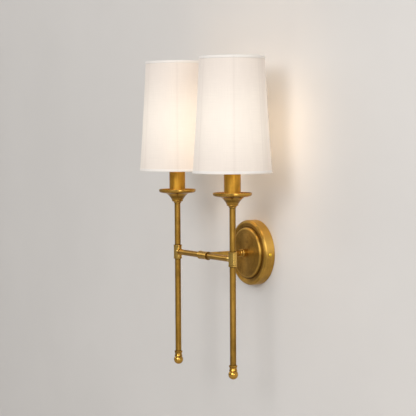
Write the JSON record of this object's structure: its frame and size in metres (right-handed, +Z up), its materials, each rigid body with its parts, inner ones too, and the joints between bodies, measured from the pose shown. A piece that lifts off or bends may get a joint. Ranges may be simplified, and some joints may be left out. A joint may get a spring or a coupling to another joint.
{
  "type": "double arm wall sconce",
  "caption": "Wall sconce with a round backplate, a crossbar on a short stem and upright candle columns with drip pans, finials and tapered fabric shades.",
  "frame": {"origin": "centre of the backplate on the wall plane, which is the centre of the wall screw slots", "axes": "+Z up, +Y into the wall, +X right along the wall; the columns stand at -Y"},
  "size_m": [0.3274, 0.1827, 0.564],
  "materials": {
    "antique_brass": "aged and brushed, lacquered",
    "bright_brass": "polished",
    "zinc_steel": "zinc plated",
    "earth_green": "green earth screw",
    "terminal_plastic": "natural nylon",
    "holder_plastic": "moulded, ivory",
    "lamp_metal": "threaded cap",
    "lamp_glass": "frosted",
    "filament": "light strips",
    "shade_fabric": "off-white linen on a translucent lining",
    "shade_tape": "off-white edge tape",
    "frame_wire": "white coated wire",
    "wire_insulation": "insulated flex"
  },
  "bodies": {
    "sconce": {"backplate": "antique_brass", "wall_bracket": "zinc_steel", "backplate_side_screws": "bright_brass", "earth_screw": "earth_green", "terminal_block": "terminal_plastic", "terminal_screws": "zinc_steel", "stem_boss": "antique_brass", "stem_tube": "antique_brass", "hub": "antique_brass", "stem_washer": "zinc_steel", "stem_nut": "zinc_steel", "arm_left": "antique_brass", "arm_right": "antique_brass", "tee_left": "antique_brass", "tee_right": "antique_brass", "upper_tube_left": "antique_brass", "upper_tube_right": "antique_brass", "lower_rod_left": "antique_brass", "lower_rod_right": "antique_brass", "finial_left": "antique_brass", "finial_right": "antique_brass", "cup_bell_left": "antique_brass", "cup_bell_right": "antique_brass", "drip_pan_left": "antique_brass", "drip_pan_right": "antique_brass", "candle_sleeve_left": "antique_brass", "candle_sleeve_right": "antique_brass", "pan_nut_left": "bright_brass", "pan_nut_right": "bright_brass", "lampholder_cap_left": "holder_plastic", "lampholder_cap_right": "holder_plastic", "lampholder_skirt_left": "holder_plastic", "lampholder_skirt_right": "holder_plastic", "lampholder_contacts_left": "bright_brass", "lampholder_contacts_right": "bright_brass", "wire_left": "wire_insulation", "wire_right": "wire_insulation"},
    "shade_left": {"shade_left": "shade_fabric", "shade_tape_left": "shade_tape", "shade_bottom_ring_left": "frame_wire", "shade_top_ring_left": "frame_wire", "shade_ribs_left": "frame_wire", "shade_fitter_left": "frame_wire"},
    "lock_ring_left": {"shade_lock_ring_left": "holder_plastic"},
    "lamp_left": {"lamp_cap_left": "lamp_metal", "lamp_glass_left": "lamp_glass", "lamp_filament_left": "filament"},
    "shade_right": {"shade_right": "shade_fabric", "shade_tape_right": "shade_tape", "shade_bottom_ring_right": "frame_wire", "shade_top_ring_right": "frame_wire", "shade_ribs_right": "frame_wire", "shade_fitter_right": "frame_wire"},
    "lock_ring_right": {"shade_lock_ring_right": "holder_plastic"},
    "lamp_right": {"lamp_cap_right": "lamp_metal", "lamp_glass_right": "lamp_glass", "lamp_filament_right": "filament"}
  },
  "joints": [
    {"name": "shade_left_turn", "type": "hinge", "parent": "sconce", "child": "shade_left", "pos_m": [-0.094, -0.113, 0.162], "axis": [0, 0, 1], "continuous": true},
    {"name": "lock_ring_left_turn", "type": "hinge", "parent": "sconce", "child": "lock_ring_left", "pos_m": [-0.094, -0.113, 0.1675], "axis": [0, 0, 1], "continuous": true},
    {"name": "lamp_left_turn", "type": "hinge", "parent": "sconce", "child": "lamp_left", "pos_m": [-0.094, -0.113, 0.164], "axis": [0, 0, 1], "continuous": true},
    {"name": "shade_right_turn", "type": "hinge", "parent": "sconce", "child": "shade_right", "pos_m": [0.094, -0.113, 0.162], "axis": [0, 0, 1], "continuous": true},
    {"name": "lock_ring_right_turn", "type": "hinge", "parent": "sconce", "child": "lock_ring_right", "pos_m": [0.094, -0.113, 0.1675], "axis": [0, 0, 1], "continuous": true},
    {"name": "lamp_right_turn", "type": "hinge", "parent": "sconce", "child": "lamp_right", "pos_m": [0.094, -0.113, 0.164], "axis": [0, 0, 1], "continuous": true}
  ]
}
